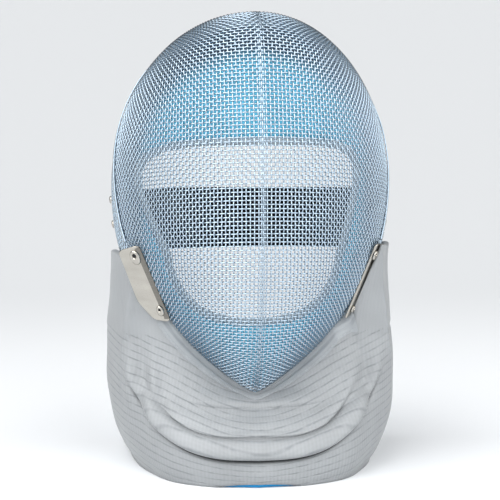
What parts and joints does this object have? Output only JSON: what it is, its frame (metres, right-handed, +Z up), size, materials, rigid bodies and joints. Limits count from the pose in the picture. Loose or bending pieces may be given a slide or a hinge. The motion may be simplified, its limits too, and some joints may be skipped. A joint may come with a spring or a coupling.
{
  "type": "fencing mask",
  "caption": "Fencing mask: a domed wire mesh face with a centre ridge, riveted ear brackets, a folded ribbed cloth bib, an inner padding ring and a strap across the open back.",
  "frame": {"origin": "centre of the bounding box in X and Y, on the floor that the bib's hem rests on", "axes": "+Z up, -Y the way the face looks, +X the viewer's right when seen from the front"},
  "size_m": [0.2255, 0.2078, 0.351],
  "materials": {
    "wire": "woven stainless steel wire, bare",
    "strip": "rolled steel strip, bare",
    "bracket": "pressed steel plate, polished",
    "rivet": "turned steel eyelets and rivets, polished",
    "bib_cloth": "pale grey conductive cloth with fine ribs",
    "trim_cloth": "pale grey woven edge tape",
    "lining_cloth": "blue plain cloth",
    "pad_cloth": "blue knitted cloth over foam",
    "binding_cloth": "grey folded binding tape",
    "elastic": "black elastic webbing"
  },
  "bodies": {
    "root": {"front_mesh": "wire", "rear_mesh": "wire", "rim_strip": "strip", "rear_edge_strip": "strip", "bracket_left": "bracket", "bracket_right": "bracket", "bracket_eyelet_left": "rivet", "bracket_eyelet_right": "rivet", "bracket_rivet_left": "rivet", "bracket_rivet_right": "rivet", "side_rivet_upper_left": "rivet", "side_rivet_upper_right": "rivet", "side_rivet_lower_left": "rivet", "side_rivet_lower_right": "rivet", "bib_outer": "bib_cloth", "bib_trim": "trim_cloth", "bib_lining": "lining_cloth", "head_pad": "pad_cloth", "pad_binding": "binding_cloth", "back_strap": "elastic"}
  },
  "joints": []
}
